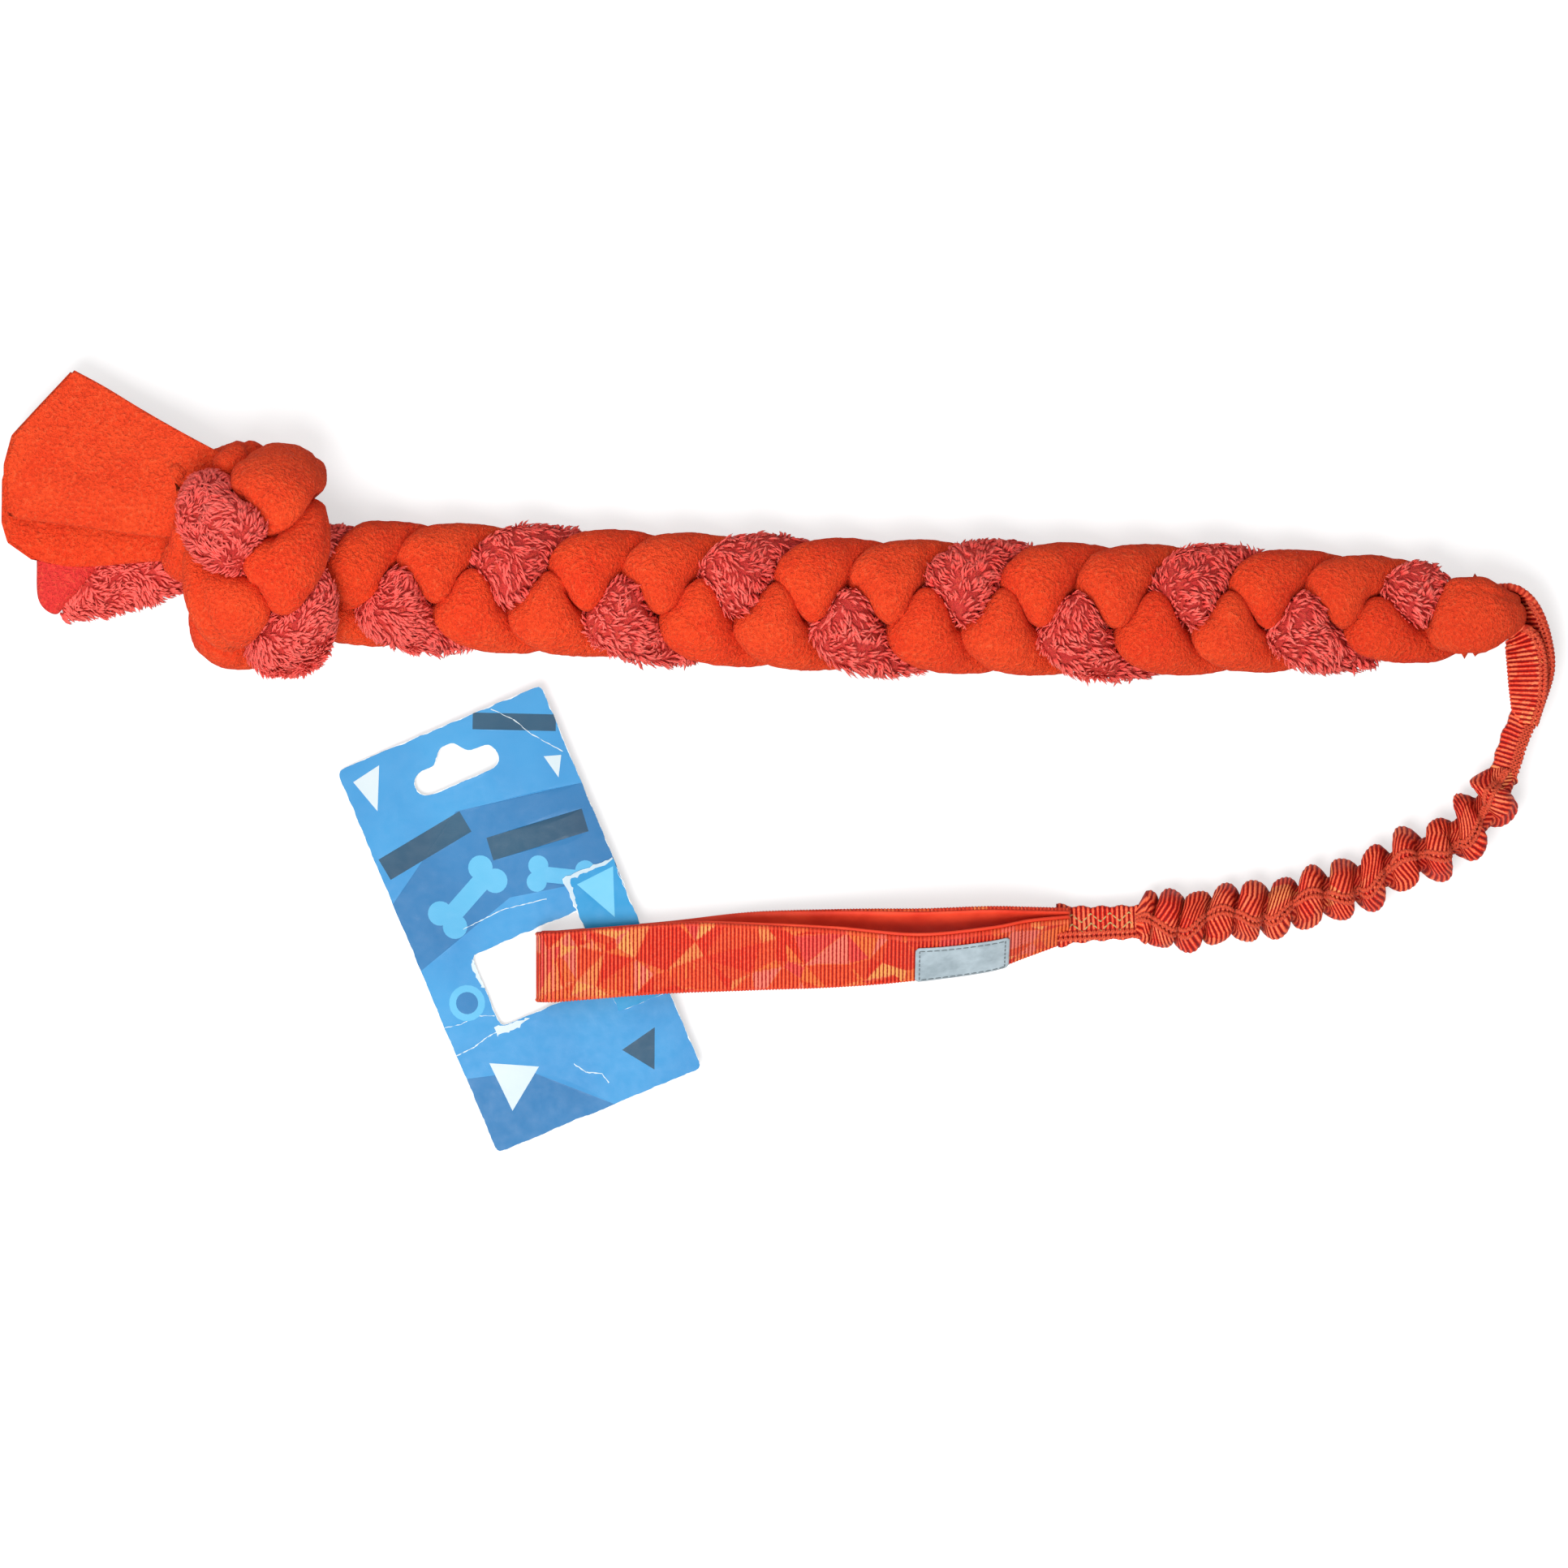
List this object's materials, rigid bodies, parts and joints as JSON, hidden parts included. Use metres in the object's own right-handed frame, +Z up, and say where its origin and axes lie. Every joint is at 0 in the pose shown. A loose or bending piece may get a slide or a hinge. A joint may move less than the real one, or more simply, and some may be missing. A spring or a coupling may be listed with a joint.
{
  "type": "bungee tug toy",
  "caption": "Plaited fleece and plush tug with a knotted end, on a ruched elastic lead with a lined hand loop and its hanging card.",
  "frame": {"origin": "middle of the toy's footprint, at table level, with the toy laid flat", "axes": "+Z up, +X along the plait from its tails to the tug loop, +Y from the hand loop to the plait"},
  "size_m": [0.552, 0.28, 0.0612],
  "materials": {
    "orange_fleece": "pilled fleece",
    "coral_plush": "long-pile plush",
    "orange_webbing": "ribbed grosgrain",
    "ruched_grosgrain": "ribbed tube",
    "elastic": "matte",
    "smooth_lining": "smooth neoprene face",
    "grey_label": "satin reflective",
    "blue_card": "coated print",
    "light_blue_card": "coated print"
  },
  "bodies": {
    "braid": {"fleece_strand_a": "orange_fleece", "fleece_strand_b": "orange_fleece", "plush_strand": "coral_plush"},
    "tug_link": {"tug_loop": "orange_webbing", "fore_neck": "orange_webbing"},
    "bungee": {"bungee_sleeve": "ruched_grosgrain", "elastic_core": "elastic"},
    "aft_link": {"aft_neck": "orange_webbing"},
    "handle": {"handle_webbing": "orange_webbing", "handle_lining": "smooth_lining", "handle_label": "grey_label"},
    "card": {"hang_card": "blue_card", "card_tongue": "light_blue_card"}
  },
  "joints": [
    {"name": "loop_swing", "type": "hinge", "parent": "braid", "child": "tug_link", "pos_m": [0.24815, 0.05221, 0.0155], "axis": [0, 0, 1], "range_deg": [0, 35], "deforming": ["tug_loop"]},
    {"name": "bungee_flex", "type": "hinge", "parent": "tug_link", "child": "bungee", "pos_m": [0.25694, -0.00252, 0.00994], "axis": [0, 0, 1], "range_deg": [0, 50], "deforming": ["bungee_sleeve", "elastic_core"]},
    {"name": "bungee_stretch", "type": "slide", "parent": "bungee", "child": "aft_link", "axis": [-0.9236, -0.3833, 0], "range_m": [0, 0.12], "stiffness_N_per_m": 60, "deforming": ["bungee_sleeve", "elastic_core"]},
    {"name": "handle_flex", "type": "hinge", "parent": "aft_link", "child": "handle", "pos_m": [0.10127, -0.0585, 0.00795], "axis": [0, 0, 1], "range_deg": [0, 45], "deforming": ["aft_neck"]},
    {"name": "card_slide", "type": "slide", "parent": "handle", "child": "card", "axis": [0.9194, 0.3865, 0.0732], "range_m": [0, 0.014]}
  ]
}
